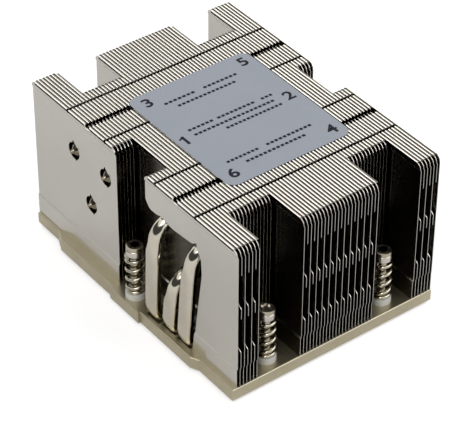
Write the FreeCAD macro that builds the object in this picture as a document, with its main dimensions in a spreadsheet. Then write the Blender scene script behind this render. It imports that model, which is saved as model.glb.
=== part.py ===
import FreeCAD, Part

import math
import os

import Sketcher

# Passive heatsink for a server processor: a stack of interlocked sheet fins on
# a base plate, six U-shaped heat pipes and six captive spring screws.
# Millimetres. X runs across the fins, Y along them, Z up; the contact face of
# the base is the plane Z = 0 and the centre of the base is the origin.
# Left is -X, front is -Y. The rear half is the front half turned about Z.

doc = FreeCAD.newDocument("server_cpu_heatsink")


# ---------------------------------------------------------------- dimensions

DIMENSIONS = (
    # fin stack
    ("stack_length", 118.0),
    ("overall_height", 64.0),
    ("stack_side_inset", 4.05),
    ("fin_thickness", 0.3),
    ("lap_clearance", 0.02),
    ("left_split_count", 6),
    ("left_full_count", 1),
    ("left_notch_count", 12),
    ("centre_count", 23),
    ("right_notch_count", 12),
    ("right_full_count", 2),
    ("right_split_count", 4),
    ("notch_depth", 15.8),
    ("side_gap", 16.7),
    # arch cut in the outer fins that lets the pipe bends through
    ("arch_gap", 3.1),
    ("arch_lead_in", 2.4),
    ("arch_reach", 39.5),
    ("arch_shoulder", 3.0),
    ("arch_waist_drop", 6.8),
    ("arch_foot", 34.5),
    # base plate
    ("base_thickness", 4.8),
    ("contact_step", 1.0),
    ("contact_width", 68.0),
    ("contact_length", 76.0),
    ("base_width", 92.4),
    ("lug_length", 17.0),
    ("pocket_inset", 0.9),
    ("pocket_end", 37.2),
    ("land_inset", 2.5),
    ("land_start", 40.4),
    ("corner_inset", 3.4),
    ("corner_start", 46.0),
    # heat pipes
    ("pipe_diameter", 5.4),
    ("pipe_clearance", 0.02),
    ("pipe_flat_thickness", 3.6),
    ("pipe_flat_width", 6.4),
    ("upper_row_height", 47.8),
    ("lower_row_height", 30.3),
    ("inner_pipe_offset", 15.2),
    ("middle_pipe_offset", 24.6),
    ("outer_pipe_offset", 34.2),
    ("inner_leg_offset", 13.3),
    ("middle_leg_offset", 21.5),
    ("outer_leg_offset", 30.0),
    ("inner_bend_inset", 1.0),
    ("middle_bend_inset", 1.9),
    ("outer_bend_inset", 2.1),
    ("bend_clearance", 0.38),
    ("flattening_length", 4.6),
    ("pipe_end_inset", 4.4),
    ("base_leg_inset", 10.2),
    ("base_leg_depth", 2.1),
    ("groove_side_gap", 0.4),
    ("groove_lead", 1.75),
    ("dome_length", 1.5),
    # captive screws
    ("corner_screw_side_inset", 21.1),
    ("corner_screw_inset", 6.4),
    ("side_screw_inset", 5.2),
    ("head_diameter", 6.2),
    ("head_height", 4.0),
    ("head_top", 28.3),
    ("shank_diameter", 3.4),
    ("shank_clearance", 0.08),
    ("thread_diameter", 4.0),
    ("stop_clearance", 0.1),
    ("thread_clearance", 0.35),
    ("tip_height", 0.3),
    ("bushing_diameter", 7.4),
    ("bushing_height", 2.55),
    ("spring_diameter", 7.3),
    ("spring_wire", 0.95),
    ("spring_turns", 4),
    # label
    ("label_width", 51.2),
    ("label_length", 60.0),
    ("label_offset_x", 1.9),
    ("label_offset_y", -1.4),
    ("label_thickness", 0.15),
    ("label_corner", 3.5),
)

# A pipe leans towards the middle of the base on its way down. Each lean is the
# angle between its round leg in the fins and its flat leg in the base.
LEAN = "=atan((%s_pipe_offset - %s_leg_offset) / (%s_row_height - leg_height)) / 1 deg"
CELLS = "(left_split_count + left_full_count + left_notch_count + centre_count"
CELLS += " + right_notch_count + right_full_count + right_split_count)"
DERIVED = (
    ("fin_pitch", "=(base_width - 2 * stack_side_inset) / " + CELLS),
    # the outer face of the first fin that the pipe bends have to stay clear of
    ("full_fin_reach", "=(%s / 2 - left_split_count) * fin_pitch + fin_thickness" % CELLS),
    ("leg_height", "=contact_step + base_thickness - base_leg_depth"),
    ("inner_lean", LEAN % ("inner", "inner", "upper")),
    ("middle_lean", LEAN % ("middle", "middle", "lower")),
    ("outer_lean", LEAN % ("outer", "outer", "upper")),
)

sheet = doc.addObject("Spreadsheet::Sheet", "dims")
sheet.Label = "dims"
for row, (alias, size) in enumerate(DIMENSIONS + DERIVED, start=1):
    sheet.set("A%d" % row, alias)
    sheet.set("B%d" % row, str(size))
    sheet.setAlias("B%d" % row, alias)
doc.recompute()


def size_of(alias):
    """Return one driving dimension as a plain number."""
    return float(sheet.get(alias))


ROUND_SIDES = 8
SHANK_SIDES = 6
BEND_SEGMENTS = 3
SPRING_SEGMENTS = 5
OVERRUN = 2.0

# expressions that several pieces share
BASE_TOP = "(dims.contact_step + dims.base_thickness)"
HALF_LENGTH = "(dims.stack_length / 2)"
HALF_GAP = "(dims.side_gap / 2)"
HALF_BASE = "(dims.base_width / 2)"
CORNER_X = "(%s - dims.corner_screw_side_inset)" % HALF_BASE
CORNER_Y = "(%s - dims.corner_screw_inset)" % HALF_LENGTH
SIDE_X = "(%s - dims.side_screw_inset)" % HALF_BASE
CHAMFER = 2 - math.sqrt(2)
# each heat pipe's place in a half and the row of holes it runs through
PIPE_ROWS = (("inner", "upper"), ("middle", "lower"), ("outer", "upper"))


# ---------------------------------------------------------- modelling helpers


def origin_plane(body, role):
    """Return the named plane of a body's origin."""
    return [item for item in body.Origin.OriginFeatures if item.Role == role][0]


def new_body(label):
    """Add an empty body."""
    body = doc.addObject("PartDesign::Body", label)
    body.Label = label
    return body


def outline_sketch(body, label, role, loops, offset="0", closed=True):
    """Sketch straight-sided outlines whose corners follow the spreadsheet."""
    sketch = body.newObject("Sketcher::SketchObject", label)
    sketch.AttachmentSupport = [(origin_plane(body, role), "")]
    sketch.MapMode = "FlatFace"
    sketch.setExpression("AttachmentOffset.Base.z", offset)
    for corners in loops:
        first = len(sketch.Geometry)
        count = len(corners) if closed else len(corners) - 1
        for side in range(count):
            start = FreeCAD.Vector(math.cos(side), math.sin(side), 0)
            end = FreeCAD.Vector(math.cos(side + 1), math.sin(side + 1), 0)
            sketch.addGeometry(Part.LineSegment(start, end))
        joins = count if closed else count - 1
        for side in range(joins):
            following = first + (side + 1) % count
            sketch.addConstraint(Sketcher.Constraint("Coincident", first + side, 2, following, 1))
        for corner, expressions in enumerate(corners):
            line = first + min(corner, count - 1)
            point = 2 if corner == count else 1
            for kind, expression in zip(("DistanceX", "DistanceY"), expressions):
                constraint = Sketcher.Constraint(kind, -1, 1, line, point, 1.0)
                index = sketch.addConstraint(constraint)
                sketch.setExpression("Constraints[%d]" % index, expression)
    return sketch


def pad(body, label, sketch, length, midplane=False, reverse=False):
    """Extrude a sketch."""
    feature = body.newObject("PartDesign::Pad", label)
    feature.Profile = sketch
    feature.Midplane = midplane
    feature.Reversed = reverse
    feature.setExpression("Length", length)
    sketch.Visibility = False
    return feature


def pocket_through(body, label, sketch, midplane=True, reverse=False):
    """Cut a sketch right through the body."""
    feature = body.newObject("PartDesign::Pocket", label)
    feature.Profile = sketch
    feature.Type = "ThroughAll"
    feature.Midplane = midplane
    feature.Reversed = reverse
    sketch.Visibility = False
    return feature


def box_corners(low_x, low_y, high_x, high_y):
    """Return the corners of a rectangle given by expressions."""
    return [(low_x, low_y), (high_x, low_y), (high_x, high_y), (low_x, high_y)]


def octagon(centre_x, centre_y, half_x, half_y, chamfer):
    """Return an eight-sided section, the faceted form of a round or flattened tube."""
    signs = ((1, -1), (1, 1), (-1, 1), (-1, -1))
    corners = []
    for sign_x, sign_y in signs:
        far = ("%s + %d * %s" % (centre_x, sign_x, half_x), "%s + %d * (%s - %s)" % (centre_y, sign_y, half_y, chamfer))
        near = ("%s + %d * (%s - %s)" % (centre_x, sign_x, half_x, chamfer), "%s + %d * %s" % (centre_y, sign_y, half_y))
        corners += [far, near] if sign_x == sign_y else [near, far]
    return corners


def hexagon(centre_x, centre_y, half):
    """Return a six-sided outline; half is from the centre to a flat."""
    corners = []
    for step in range(6):
        reach = "%s / cos(30 deg)" % half
        across = "%s + %s * cos(%d deg)" % (centre_x, reach, 60 * step)
        along = "%s + %s * sin(%d deg)" % (centre_y, reach, 60 * step)
        corners.append((across, along))
    return corners


def compound(label, members):
    """Group separate solids under one name."""
    group = doc.addObject("Part::Compound", label)
    group.Label = label
    group.Links = members
    return group


# ------------------------------------------------------------------ fin stack


def channel_fin(label, low_y, high_y, top_fold=True, foot_fold=True):
    """Make one folded fin, or the flat end plate, between two Y positions.

    The web stands on X = 0 and its folded edges reach towards the next fin.
    """
    body = new_body(label)
    wall = "dims.fin_thickness"
    edge = "dims.fin_pitch - dims.lap_clearance"
    top = "dims.overall_height"
    profile = [("0", BASE_TOP)]
    if foot_fold:
        profile += [
            (edge, BASE_TOP),
            (edge, "%s + %s" % (BASE_TOP, wall)),
            (wall, "%s + %s" % (BASE_TOP, wall)),
        ]
    else:
        profile.append((wall, BASE_TOP))
    if top_fold:
        profile += [
            (wall, "%s - %s" % (top, wall)),
            (edge, "%s - %s" % (top, wall)),
            (edge, top),
        ]
    else:
        profile.append((wall, top))
    profile.append(("0", top))
    # the sketch normal is -Y
    middle = "-(%s + %s) / 2" % (low_y, high_y)
    sketch = outline_sketch(body, label + "_profile", "XZ_Plane", [profile], middle)
    pad(body, label + "_strip", sketch, "%s - %s" % (high_y, low_y), midplane=True)
    return body


def pipe_holes(body, sides):
    """Punch the pointed pipe holes; each side is -1 for front, 1 for rear."""
    half = "((dims.pipe_diameter / 2 + dims.pipe_clearance) * sqrt(2))"
    loops = []
    for side in sides:
        for position, row in PIPE_ROWS:
            corners = []
            for quarter in range(4):
                # the hole leans with its pipe
                turn = "(%d deg - dims.%s_lean * 1 deg)" % (90 * quarter, position)
                across = "%d * (dims.%s_pipe_offset + %s * cos(%s))" % (side, position, half, turn)
                height = "dims.%s_row_height + %s * sin(%s)" % (row, half, turn)
                corners.append((across, height))
            loops.append(corners)
    sketch = outline_sketch(body, body.Label + "_hole_sketch", "YZ_Plane", loops)
    pocket_through(body, body.Label + "_holes", sketch)


def arch_cut(body, side, windowed=False):
    """Cut the arch round the pipe bends; side is -1 for front, 1 for rear."""
    foot = "%s - %g" % (BASE_TOP, OVERRUN)
    arch = "(dims.upper_row_height + dims.arch_gap)"
    if windowed:
        start = [("%d * (%s + dims.arch_lead_in)" % (side, HALF_GAP), foot)]
    else:
        open_edge = "%d * (%s - %g)" % (side, HALF_GAP, OVERRUN)
        start = [
            (open_edge, foot),
            (open_edge, "%s + dims.arch_lead_in + %g" % (arch, OVERRUN)),
        ]
    corners = start + [
        ("%d * (%s + dims.arch_lead_in)" % (side, HALF_GAP), arch),
        ("%d * (dims.arch_reach - dims.arch_shoulder)" % side, arch),
        ("%d * dims.arch_reach" % side, "%s - dims.arch_shoulder" % arch),
        ("%d * dims.arch_reach" % side, "dims.upper_row_height - dims.arch_waist_drop"),
        ("%d * dims.arch_foot" % side, foot),
    ]
    sketch = outline_sketch(body, body.Label + "_arch_sketch", "YZ_Plane", [corners])
    pocket_through(body, body.Label + "_arch", sketch)


def place_fins(label, master, first_cell, count):
    """Set out copies of one fin, a pitch apart, as separate solids."""
    copies = []
    for step in range(count):
        link = doc.addObject("App::Link", "%s_%d" % (label, step + 1))
        link.LinkedObject = master
        pitches = first_cell + step - cell_total / 2
        link.setExpression("Placement.Base.x", "%g * dims.fin_pitch" % pitches)
        copies.append(link)
    return compound(label, copies)


block_counts = [
    int(size_of(alias))
    for alias in (
        "left_split_count",
        "left_full_count",
        "left_notch_count",
        "centre_count",
        "right_notch_count",
        "right_full_count",
        "right_split_count",
    )
]
cell_total = sum(block_counts)
block_starts = [sum(block_counts[:index]) for index in range(len(block_counts))]

front_span = ("-" + HALF_LENGTH, "-" + HALF_GAP)
rear_span = (HALF_GAP, HALF_LENGTH)
full_span = ("-" + HALF_LENGTH, HALF_LENGTH)
notch_span = ("-(%s - dims.notch_depth)" % HALF_LENGTH, "(%s - dims.notch_depth)" % HALF_LENGTH)

full_fin = channel_fin("full_fin", *full_span)
pipe_holes(full_fin, (-1, 1))

notch_fin = channel_fin("notch_fin", *notch_span, foot_fold=False)
pipe_holes(notch_fin, (-1, 1))

# no foot fold here: the pipe bends rise just under it
footless_fin = channel_fin("footless_fin", *full_span, foot_fold=False)
pipe_holes(footless_fin, (-1, 1))

window_fin = channel_fin("window_fin", *full_span)
pipe_holes(window_fin, (-1,))
arch_cut(window_fin, 1, windowed=True)

front_fin = channel_fin("front_fin", *front_span)
pipe_holes(front_fin, (-1,))

rear_fin = channel_fin("rear_fin", *rear_span)
pipe_holes(rear_fin, (1,))

front_arch_fin = channel_fin("front_arch_fin", *front_span)
arch_cut(front_arch_fin, -1)

rear_arch_fin = channel_fin("rear_arch_fin", *rear_span)
arch_cut(rear_arch_fin, 1)

front_end = channel_fin("front_end", *front_span, top_fold=False, foot_fold=False)
pipe_holes(front_end, (-1,))

rear_end = channel_fin("rear_end", *rear_span, top_fold=False, foot_fold=False)
arch_cut(rear_end, 1)

nodes = [
    place_fins("left_front_fins", front_arch_fin, block_starts[0], block_counts[0]),
    place_fins("left_rear_fins", rear_fin, block_starts[0], block_counts[0]),
    place_fins("left_full_fin", full_fin, block_starts[1], block_counts[1]),
    place_fins("left_notch_fins", notch_fin, block_starts[2], block_counts[2]),
    place_fins("centre_fins", full_fin, block_starts[3], block_counts[3]),
    place_fins("right_notch_fins", notch_fin, block_starts[4], block_counts[4]),
    place_fins("right_full_fins", footless_fin, block_starts[5], block_counts[5] - 1),
    place_fins("right_window_fin", window_fin, block_starts[6] - 1, 1),
    place_fins("right_front_fins", front_fin, block_starts[6], block_counts[6]),
    place_fins("right_rear_fins", rear_arch_fin, block_starts[6], block_counts[6]),
    place_fins("front_end_plate", front_end, cell_total, 1),
    place_fins("rear_end_plate", rear_end, cell_total, 1),
]


# ----------------------------------------------------------------- base plate

base = new_body("base_plate")
half_lug = "dims.lug_length / 2"
half_outline = [
    ("-(%s - dims.land_inset)" % HALF_BASE, "-" + HALF_LENGTH),
    ("-(%s - dims.land_inset)" % HALF_BASE, "-dims.land_start"),
    ("-(%s - dims.pocket_inset)" % HALF_BASE, "-dims.pocket_end"),
    ("-(%s - dims.pocket_inset)" % HALF_BASE, "-" + half_lug),
    ("-" + HALF_BASE, "-" + half_lug),
    ("-" + HALF_BASE, half_lug),
    ("-(%s - dims.pocket_inset)" % HALF_BASE, half_lug),
    ("-(%s - dims.pocket_inset)" % HALF_BASE, "dims.land_start"),
    ("-(%s - dims.corner_inset)" % HALF_BASE, "dims.corner_start"),
    ("-(%s - dims.corner_inset)" % HALF_BASE, HALF_LENGTH),
]
turned_outline = [("-(%s)" % x, "-(%s)" % y) for x, y in half_outline]
plate_sketch = outline_sketch(
    base, "plate_sketch", "XY_Plane", [half_outline + turned_outline], "dims.contact_step"
)
pad(base, "plate", plate_sketch, "dims.base_thickness")

contact_sketch = outline_sketch(
    base,
    "contact_sketch",
    "XY_Plane",
    [
        box_corners(
            "-dims.contact_width / 2",
            "-dims.contact_length / 2",
            "dims.contact_width / 2",
            "dims.contact_length / 2",
        )
    ],
)
pad(base, "contact_face", contact_sketch, "dims.contact_step")

groove_half = "(dims.pipe_flat_width / 2 + dims.groove_side_gap)"
groove_loops = []
for side in (-1, 1):
    for position, _ in PIPE_ROWS:
        centre = "%d * dims.%s_leg_offset" % (side, position)
        # front grooves end under the left bends, rear grooves under the right ones
        bend_end = "%d * (%s - dims.%s_bend_inset - dims.groove_lead)" % (side, HALF_BASE, position)
        closed_end = "%d * (%s - dims.base_leg_inset + dims.pipe_clearance)" % (-side, HALF_BASE)
        groove_loops.append(
            box_corners(
                bend_end,
                "%s + %d * %s" % (centre, side, groove_half),
                closed_end,
                "%s - %d * %s" % (centre, side, groove_half),
            )
        )
groove_sketch = outline_sketch(base, "groove_sketch", "XY_Plane", groove_loops, BASE_TOP)
grooves = base.newObject("PartDesign::Pocket", "pipe_grooves")
grooves.Profile = groove_sketch
grooves.setExpression("Length", "2 * dims.base_leg_depth + dims.pipe_clearance")
groove_sketch.Visibility = False

screw_places = (
    ("front_left", "-" + CORNER_X, "-" + CORNER_Y),
    ("front_right", CORNER_X, "-" + CORNER_Y),
    ("middle_left", "-" + SIDE_X, "0"),
    ("middle_right", SIDE_X, "0"),
    ("rear_left", "-" + CORNER_X, CORNER_Y),
    ("rear_right", CORNER_X, CORNER_Y),
)
screw_hole_half = "(dims.thread_diameter / 2 + dims.thread_clearance)"
screw_holes = [hexagon(x, y, screw_hole_half) for _, x, y in screw_places]
hole_sketch = outline_sketch(base, "screw_hole_sketch", "XY_Plane", screw_holes)
pocket_through(base, "screw_holes", hole_sketch)
nodes.append(base)


# ----------------------------------------------------------------- heat pipes


def bend_points(centre_x, centre_z, radius, start_angle):
    """Return points on a quarter bend, anticlockwise from an angle in degrees."""
    points = []
    for step in range(BEND_SEGMENTS + 1):
        angle = start_angle + 90.0 * step / BEND_SEGMENTS
        points.append(
            (
                "%s + %s * cos(%g deg)" % (centre_x, radius, angle),
                "%s + %s * sin(%g deg)" % (centre_z, radius, angle),
            )
        )
    return points


def sweep(body, label, profile, spine):
    """Sweep a section along straight runs with mitred corners."""
    feature = body.newObject("PartDesign::AdditivePipe", label)
    feature.Profile = profile
    feature.Spine = spine
    feature.Mode = "Standard"
    feature.Transition = "Right corner"
    profile.Visibility = False
    spine.Visibility = False
    return feature


def end_dome(body, label, previous, end_x):
    """Close the round end of a pipe with a faceted dome."""
    rim = []
    for index, edge in enumerate(previous.Shape.Edges, start=1):
        if all(abs(vertex.X - end_x) < 1e-4 for vertex in edge.Vertexes):
            rim.append("Edge%d" % index)
    feature = body.newObject("PartDesign::Chamfer", label)
    feature.Base = (previous, rim)
    feature.setExpression("Size", "dims.dome_length")
    previous.Visibility = False
    return feature


def heat_pipe(label, position, row, side):
    """Make a U-shaped pipe: a round leg in the fins, a flattened leg in the base.

    It is drawn upright with its bend on the left, then leaned about X. A rear
    pipe is also turned about Z.
    """
    body = new_body(label)
    lean = "dims.%s_lean" % position
    slant = "cos(%s * 1 deg)" % lean
    reach = "(%s - dims.%s_bend_inset)" % (HALF_BASE, position)
    round_x = "(%s - dims.pipe_diameter / 2)" % reach
    flat_x = "(%s - dims.pipe_flat_thickness / 2)" % reach
    leg_z = "(dims.leg_height / %s)" % slant
    round_half = "dims.pipe_diameter / 2"
    round_chamfer = "%g * %s" % (CHAMFER, round_half)
    thin_half = "dims.pipe_flat_thickness / 2"
    wide_half = "dims.pipe_flat_width / 2"
    thin_chamfer = "%g * %s" % (CHAMFER, thin_half)
    bend_top = "(dims.%s_row_height / %s)" % (row, slant)
    round_radius = "(%s - dims.full_fin_reach - dims.bend_clearance)" % round_x
    flat_radius = "(%s - dims.full_fin_reach - dims.bend_clearance)" % flat_x
    round_end = "(%s - %s)" % (bend_top, round_radius)
    flat_end = "(%s - dims.flattening_length)" % round_end
    closed_end = "(%s - dims.pipe_end_inset + dims.dome_length)" % HALF_BASE

    leg_section = outline_sketch(
        body,
        label + "_leg_section",
        "YZ_Plane",
        [octagon("0", bend_top, round_half, round_half, round_chamfer)],
        closed_end,
    )
    upper_route = [(closed_end, bend_top)]
    upper_route += bend_points(
        "-%s + %s" % (round_x, round_radius), round_end, round_radius, 90
    )
    upper_route.append(("-%s" % round_x, flat_end))
    upper_spine = outline_sketch(
        body, label + "_upper_route", "XZ_Plane", [upper_route], closed=False
    )
    upper_leg = sweep(body, label + "_upper_leg", leg_section, upper_spine)
    doc.recompute()
    end_x = size_of("base_width") / 2 - size_of("pipe_end_inset") + size_of("dome_length")
    end_dome(body, label + "_dome", upper_leg, end_x)

    # the inner side slopes in until only the flattened thickness is left
    inner_round = "(-%s + dims.pipe_diameter)" % reach
    inner_flat = "(-%s + dims.pipe_flat_thickness)" % reach
    slope = [
        (inner_round, round_end),
        (inner_flat, flat_end),
        (inner_flat, "%s - %g" % (flat_end, OVERRUN)),
        (inner_round, "%s - %g" % (flat_end, OVERRUN)),
    ]
    slope_sketch = outline_sketch(body, label + "_slope_sketch", "XZ_Plane", [slope])
    pocket_through(body, label + "_slope", slope_sketch)

    lower_start = "(%s + %s) / 2" % (round_end, flat_end)
    flat_section = outline_sketch(
        body,
        label + "_flat_section",
        "XY_Plane",
        [octagon("-%s" % flat_x, "0", thin_half, wide_half, thin_chamfer)],
        lower_start,
    )
    lower_route = [("-%s" % flat_x, lower_start)]
    lower_route += bend_points(
        "-%s + %s" % (flat_x, flat_radius),
        "%s + %s" % (leg_z, flat_radius),
        flat_radius,
        180,
    )
    lower_route.append(("%s - dims.base_leg_inset" % HALF_BASE, leg_z))
    lower_spine = outline_sketch(
        body, label + "_lower_route", "XZ_Plane", [lower_route], closed=False
    )
    sweep(body, label + "_lower_leg", flat_section, lower_spine)

    foot_y = "(dims.%s_leg_offset - dims.leg_height * tan(%s * 1 deg))" % (position, lean)
    body.setExpression("Placement.Base.y", "%d * %s" % (side, foot_y))
    if side < 0:
        body.Placement.Rotation = FreeCAD.Rotation(FreeCAD.Vector(1, 0, 0), 1)
        body.setExpression("Placement.Rotation.Angle", "%s * 1 deg" % lean)
    else:
        # leaning and turning together are one half turn about a leaned axis
        body.Placement.Rotation = FreeCAD.Rotation(FreeCAD.Vector(0, 0, 1), 180)
        body.setExpression("Placement.Rotation.Axis.y", "sin(%s / 2 * 1 deg)" % lean)
        body.setExpression("Placement.Rotation.Axis.z", "cos(%s / 2 * 1 deg)" % lean)
    return body


for side, name in ((-1, "front"), (1, "rear")):
    for position, row in PIPE_ROWS:
        nodes.append(heat_pipe("%s_%s_heat_pipe" % (name, position), position, row, side))


# ------------------------------------------- captive screws, springs, bushings


def prism(label, sides, diameter, bottom, height, x, y):
    """Make a regular prism standing at X, Y; the diameter is across its flats."""
    part = doc.addObject("Part::Prism", label)
    part.Polygon = sides
    part.setExpression("Circumradius", "(%s) / 2 / cos(180 deg / %d)" % (diameter, sides))
    part.setExpression("Height", height)
    part.setExpression("Placement.Base.x", x)
    part.setExpression("Placement.Base.y", y)
    part.setExpression("Placement.Base.z", bottom)
    turn = 180.0 / sides if sides == ROUND_SIDES else 0.0
    part.Placement.Rotation = FreeCAD.Rotation(FreeCAD.Vector(0, 0, 1), turn)
    part.Visibility = False
    return part


HEAD_BOTTOM = "(dims.head_top - dims.head_height)"
THREAD_TOP = "(%s - dims.stop_clearance)" % BASE_TOP
BORE = "(dims.shank_diameter + 2 * dims.shank_clearance)"


def captive_screw(label, x, y):
    """Make a screw: round head, plain shank and a threaded tip wider than the shank."""
    head = prism(label + "_head", ROUND_SIDES, "dims.head_diameter", HEAD_BOTTOM, "dims.head_height", x, y)
    shank = prism(
        label + "_shank",
        SHANK_SIDES,
        "dims.shank_diameter",
        THREAD_TOP,
        "%s - %s" % (HEAD_BOTTOM, THREAD_TOP),
        x,
        y,
    )
    thread = prism(
        label + "_thread",
        SHANK_SIDES,
        "dims.thread_diameter",
        "dims.tip_height",
        "%s - dims.tip_height" % THREAD_TOP,
        x,
        y,
    )
    screw = doc.addObject("Part::MultiFuse", label)
    screw.Label = label
    screw.Shapes = [head, shank, thread]
    screw.Refine = True
    return screw


def bushing(label, x, y):
    """Make the collar that guides a screw and carries its spring."""
    outside = prism(label + "_body", ROUND_SIDES, "dims.bushing_diameter", BASE_TOP, "dims.bushing_height", x, y)
    bore = prism(
        label + "_bore",
        SHANK_SIDES,
        BORE,
        "%s - %g" % (BASE_TOP, OVERRUN),
        "dims.bushing_height + %g" % (2 * OVERRUN),
        x,
        y,
    )
    ring = doc.addObject("Part::Cut", label)
    ring.Label = label
    ring.Base = outside
    ring.Tool = bore
    return ring


def coil_spring(label, x, y):
    """Wind a compression spring between the bushing and the screw head."""
    low = size_of("contact_step") + size_of("base_thickness") + size_of("bushing_height")
    high = size_of("head_top") - size_of("head_height")
    wire = size_of("spring_wire")
    radius = size_of("spring_diameter") / 2 - wire / 2
    steps = SPRING_SEGMENTS * int(size_of("spring_turns"))
    rise = (high - low - wire) / steps
    route = []
    for step in range(steps + 1):
        angle = 2 * math.pi * step / SPRING_SEGMENTS
        route.append(
            FreeCAD.Vector(
                radius * math.cos(angle),
                radius * math.sin(angle),
                low + wire / 2 + step * rise,
            )
        )
    path = doc.addObject("Part::Polygon", label + "_route")
    path.Nodes = route
    section = doc.addObject("Part::RegularPolygon", label + "_wire")
    section.Polygon = 3
    section.setExpression("Circumradius", "dims.spring_wire / 2")
    section.Placement = FreeCAD.Placement(
        route[0], FreeCAD.Rotation(FreeCAD.Vector(0, 0, 1), route[1] - route[0])
    )
    coil = doc.addObject("Part::Sweep", label)
    coil.Label = label
    coil.Sections = [section]
    coil.Spine = (path, [])
    coil.Solid = True
    coil.Frenet = False
    coil.Transition = "Right corner"
    coil.setExpression("Placement.Base.x", x)
    coil.setExpression("Placement.Base.y", y)
    path.Visibility = False
    section.Visibility = False
    return coil


collars = []
for place, x, y in screw_places:
    nodes.append(captive_screw(place + "_screw", x, y))
    nodes.append(coil_spring(place + "_spring", x, y))
    collars.append(bushing(place + "_bushing", x, y))
nodes.append(compound("screw_bushings", collars))


# ---------------------------------------------------------------------- label

label_body = new_body("top_label")
half_width = "dims.label_width / 2"
half_length = "dims.label_length / 2"
label_sketch = outline_sketch(
    label_body,
    "label_sketch",
    "XY_Plane",
    [
        octagon(
            "dims.label_offset_x",
            "dims.label_offset_y",
            half_width,
            half_length,
            "%g * dims.label_corner" % CHAMFER,
        )
    ],
    "dims.overall_height",
)
pad(label_body, "label_sheet", label_sketch, "dims.label_thickness")
nodes.append(label_body)


# -------------------------------------------------------- recompute and export

doc.recompute()

for item in doc.Objects:
    if "Invalid" in item.State or "Error" in item.State:
        raise RuntimeError("%s did not recompute: %s" % (item.Label, item.State))

os.makedirs("parts", exist_ok=True)
for node in nodes:
    shape = node.Shape
    if not shape.isValid() or not shape.Solids:
        raise RuntimeError("%s has no valid solid" % node.Label)
    shape.exportStep(os.path.join("parts", node.Label + ".step"))
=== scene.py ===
"""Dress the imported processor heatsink: folded fins, heat pipes, spring screws, label."""

import logging
import math
from dataclasses import dataclass, replace
from enum import Enum
from typing import Any, Iterable, Sequence

import bmesh
import bpy
from bmesh.types import BMEdge, BMesh, BMFace, BMVert
from bpy.types import Material, Node, NodeSocket, NodeTree, Object
from mathutils import Matrix, Vector


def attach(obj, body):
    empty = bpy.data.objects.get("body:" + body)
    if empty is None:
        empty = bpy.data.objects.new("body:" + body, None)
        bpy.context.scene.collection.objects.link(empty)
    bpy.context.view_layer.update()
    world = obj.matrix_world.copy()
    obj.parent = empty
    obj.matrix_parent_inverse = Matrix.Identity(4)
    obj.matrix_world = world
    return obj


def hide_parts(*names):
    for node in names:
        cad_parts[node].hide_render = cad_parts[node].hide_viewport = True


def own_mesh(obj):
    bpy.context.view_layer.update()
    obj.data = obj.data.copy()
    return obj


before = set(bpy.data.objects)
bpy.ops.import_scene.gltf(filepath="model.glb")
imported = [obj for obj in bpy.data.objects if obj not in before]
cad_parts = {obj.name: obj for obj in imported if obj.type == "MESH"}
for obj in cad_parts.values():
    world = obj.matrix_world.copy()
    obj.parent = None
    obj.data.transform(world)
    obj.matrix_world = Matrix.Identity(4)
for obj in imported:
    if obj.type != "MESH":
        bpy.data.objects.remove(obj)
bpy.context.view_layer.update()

LOG = logging.getLogger("heatsink")
MM = 0.001
BODY = "heatsink"
HERE = Vector((0, 0, 0))
Pair = tuple[float, float]
Triple = tuple[float, float, float]
# the number of a piece's second finish; the fins also have a third, of painted shade
SECOND_FINISH = 1
PAINTED_SHADE_FINISH = 2
# how finely a rounded corner is divided, and the angle in degrees above which edges stay crisp
CORNER_STEPS = 4
CRISP_ANGLE = 38


# --- small tools


class Half(Enum):
    """Which end of the heatsink a piece belongs to, with the sign of its Y."""

    FRONT = -1
    REAR = 1


class Plane(Enum):
    """The plane a flat outline is drawn in."""

    XY = 0
    XZ = 1
    YZ = 2


@dataclass(frozen=True)
class Corner:
    """One corner of a flat outline, in millimetres."""

    across: float
    along: float
    radius: float = 0.0


def per_mm(size: float) -> float:
    """Return the texture scale that gives a pattern of this size in millimetres."""
    return 1.0 / (size * MM)


def linear(code: str) -> tuple[float, float, float, float]:
    """Turn an sRGB hex colour into linear light.

    Args:
        code: six hex digits, such as "c8c4ba".

    Returns:
        Red, green, blue and an alpha of 1.
    """
    channels = [int(code[i : i + 2], 16) / 255 for i in (0, 2, 4)]
    light = [c / 12.92 if c <= 0.04045 else ((c + 0.055) / 1.055) ** 2.4 for c in channels]
    return (light[0], light[1], light[2], 1.0)


def only(kind: type, items: Iterable[Any]) -> list[Any]:
    """Return the items of one kind, such as the new points of an extrusion."""
    return [item for item in items if isinstance(item, kind)]


def face_outwards(bm: BMesh) -> None:
    """Turn every face of a closed mesh outwards."""
    bmesh.ops.recalc_face_normals(bm, faces=list(bm.faces))


def point(plane: Plane, across: float, along: float, depth: float = 0.0) -> Vector:
    """Place a flat coordinate in space.

    Args:
        plane: the plane it is drawn in.
        across: its first coordinate.
        along: its second coordinate.
        depth: where the plane lies on its own axis.

    Returns:
        The point.
    """
    if plane is Plane.XY:
        return Vector((across, along, depth))
    if plane is Plane.XZ:
        return Vector((across, depth, along))
    return Vector((depth, across, along))


def outline_face(bm: BMesh, corners: Sequence[Corner], plane: Plane, depth: float = 0.0) -> None:
    """Draw one flat face and round the corners that have a radius.

    Args:
        bm: the mesh that gets the face; it holds no other face yet.
        corners: the corners in order.
        plane: the plane of the outline.
        depth: where the plane lies on its own axis.
    """
    made = [bm.verts.new(point(plane, c.across, c.along, depth)) for c in corners]
    bm.faces.new(made)
    for radius in sorted({c.radius for c in corners if c.radius > 0}):
        chosen = [v for v, c in zip(made, corners) if c.radius == radius]
        bmesh.ops.bevel(
            bm, geom=chosen, offset=radius, offset_type="OFFSET", segments=CORNER_STEPS,
            profile=0.5, affect="VERTICES", material=-1,
        )


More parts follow.
